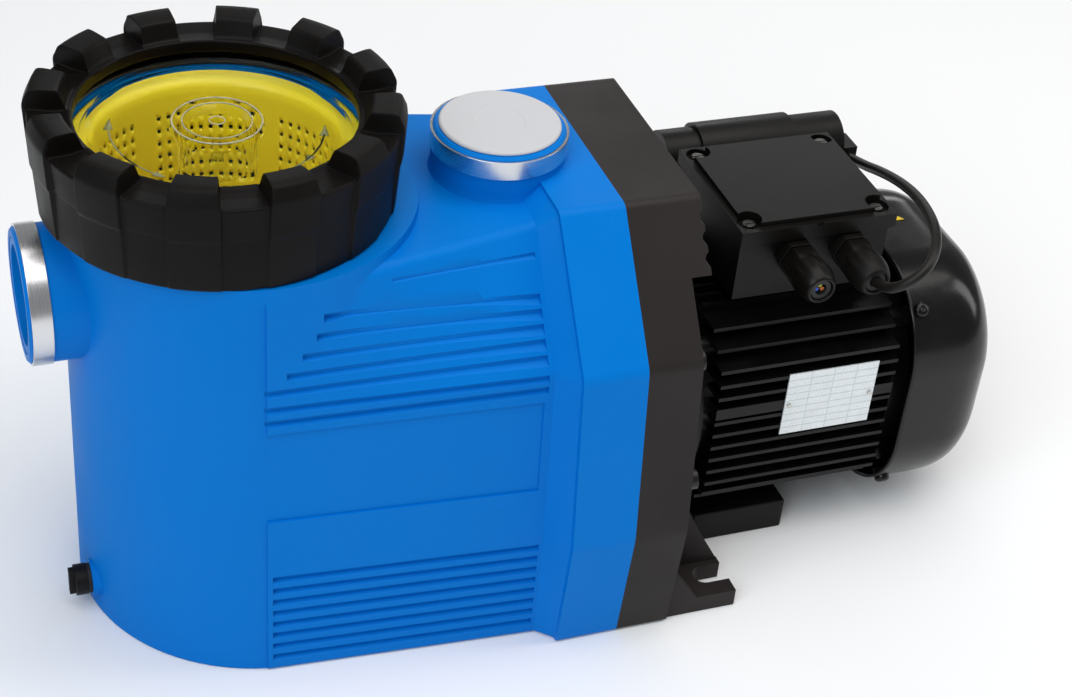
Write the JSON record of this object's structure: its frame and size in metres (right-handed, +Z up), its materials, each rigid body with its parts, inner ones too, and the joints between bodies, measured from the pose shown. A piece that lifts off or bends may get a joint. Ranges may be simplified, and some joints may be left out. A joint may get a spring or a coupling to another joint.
{
  "type": "pool pump",
  "caption": "Self-priming pool pump: strainer pot with clear lid under a lugged lock ring, two threaded ports and a finned motor on a dark adaptor with slotted feet.",
  "frame": {"origin": "on the floor, under the middle of the pump's length and width", "axes": "+X from the suction port to the motor's fan cover along the shaft, +Y towards the side opposite the name plate, +Z up"},
  "size_m": [0.609, 0.2806, 0.331],
  "materials": {
    "blue_plastic": "satin moulded, bright blue",
    "dark_plastic": "matt moulded, dark grey",
    "ring_plastic": "matt moulded, near black",
    "stainless": "turned stainless steel",
    "clear_plastic": "clear moulded plastic",
    "yellow_plastic": "matt moulded, yellow",
    "white_plastic": "translucent white",
    "black_rubber": "matt rubber",
    "black_plastic": "satin moulded, black",
    "ceramic": "polished ceramic",
    "painted_metal": "semi-gloss black enamel",
    "steel": "turned steel",
    "bearing_steel": "ground bearing steel",
    "zinc_steel": "zinc plated",
    "laminations": "stacked electrical steel",
    "copper": "enamelled copper wire",
    "blue_insulation": "blue insulation",
    "brown_insulation": "brown insulation",
    "earth_insulation": "green and yellow insulation",
    "plate": "printed aluminium foil",
    "yellow_sticker": "printed film"
  },
  "bodies": {
    "pump_body": {"housing": "blue_plastic", "port_sockets": "blue_plastic", "suction_ring": "stainless", "discharge_ring": "stainless", "adaptor": "dark_plastic", "casing_o_ring": "black_rubber", "casing_bolts": "steel", "diffuser": "black_plastic", "seal_seat": "ceramic", "seal_cup": "black_rubber", "front_bearing_outer_ring": "bearing_steel", "rear_bearing_outer_ring": "bearing_steel", "front_end_shield": "painted_metal", "motor_frame": "painted_metal", "stator_core": "laminations", "stator_windings": "copper", "rear_end_shield": "painted_metal", "tie_bolts": "zinc_steel", "fan_cover": "painted_metal", "fan_cover_screws": "painted_metal", "terminal_box": "black_plastic", "terminal_gasket": "black_rubber", "terminal_cover": "black_plastic", "terminal_cover_screws": "zinc_steel", "terminal_block": "white_plastic", "cable_glands": "black_plastic", "gland_nuts": "black_plastic", "gland_seals": "black_rubber", "neutral_conductor": "blue_insulation", "live_conductor": "brown_insulation", "earth_conductor": "earth_insulation", "capacitor": "black_plastic", "capacitor_clip": "black_plastic", "capacitor_lead": "black_rubber", "name_plate": "plate", "name_plate_rivets": "zinc_steel", "motor_support": "black_plastic", "cover_sticker": "yellow_sticker"},
    "rotor": {"shaft": "steel", "rotor_core": "laminations", "impeller": "black_plastic", "impeller_key": "steel", "impeller_nut": "steel", "seal_head": "steel", "water_slinger": "black_rubber", "front_bearing_inner_ring": "bearing_steel", "rear_bearing_inner_ring": "bearing_steel", "cooling_fan": "black_plastic", "fan_clip": "steel"},
    "front_ball_set": {"front_bearing_balls": "bearing_steel", "front_bearing_cage": "steel"},
    "rear_ball_set": {"rear_bearing_balls": "bearing_steel", "rear_bearing_cage": "steel"},
    "lid": {"clear_lid": "clear_plastic", "lid_o_ring": "black_rubber"},
    "ring": {"lock_ring": "ring_plastic"},
    "basket": {"strainer_basket": "yellow_plastic"},
    "drain_washer": {"drain_seal": "black_rubber"},
    "drain_screw": {"drain_plug": "black_plastic"},
    "port_cap": {"transport_cap": "white_plastic"}
  },
  "joints": [
    {"name": "shaft_spin", "type": "hinge", "parent": "pump_body", "child": "rotor", "pos_m": [0.1075, 0, 0.096], "axis": [1, 0, 0], "continuous": true},
    {"name": "front_ball_orbit", "type": "hinge", "parent": "pump_body", "child": "front_ball_set", "pos_m": [0.0835, 0, 0.096], "axis": [1, 0, 0], "continuous": true},
    {"name": "rear_ball_orbit", "type": "hinge", "parent": "pump_body", "child": "rear_ball_set", "pos_m": [0.229, 0, 0.096], "axis": [1, 0, 0], "continuous": true},
    {"name": "lid_lift", "type": "slide", "parent": "pump_body", "child": "lid", "axis": [0, 0, 1], "range_m": [0, 0.42]},
    {"name": "ring_turn", "type": "hinge", "parent": "lid", "child": "ring", "pos_m": [-0.1925, 0, 0.29], "axis": [0, 0, 1], "range_deg": [0, 540]},
    {"name": "basket_lift", "type": "slide", "parent": "pump_body", "child": "basket", "axis": [0, 0, 1], "range_m": [0, 0.252]},
    {"name": "drain_travel", "type": "slide", "parent": "pump_body", "child": "drain_washer", "axis": [-1, 0, 0], "range_m": [0, 0.016]},
    {"name": "drain_turn", "type": "hinge", "parent": "drain_washer", "child": "drain_screw", "pos_m": [-0.2825, -0.026, 0.02], "axis": [-1, 0, 0], "range_deg": [0, 2520]},
    {"name": "cap_lift", "type": "slide", "parent": "pump_body", "child": "port_cap", "axis": [0, 0, 1], "range_m": [0, 0.08]}
  ],
  "couplings": [
    {"joint": "front_ball_orbit", "follows": "shaft_spin", "ratio": 0.3836},
    {"joint": "rear_ball_orbit", "follows": "shaft_spin", "ratio": 0.3842},
    {"joint": "basket_lift", "follows": "lid_lift", "ratio": 0.6},
    {"joint": "drain_travel", "follows": "drain_turn", "m_per_rad": 0.00031831}
  ]
}
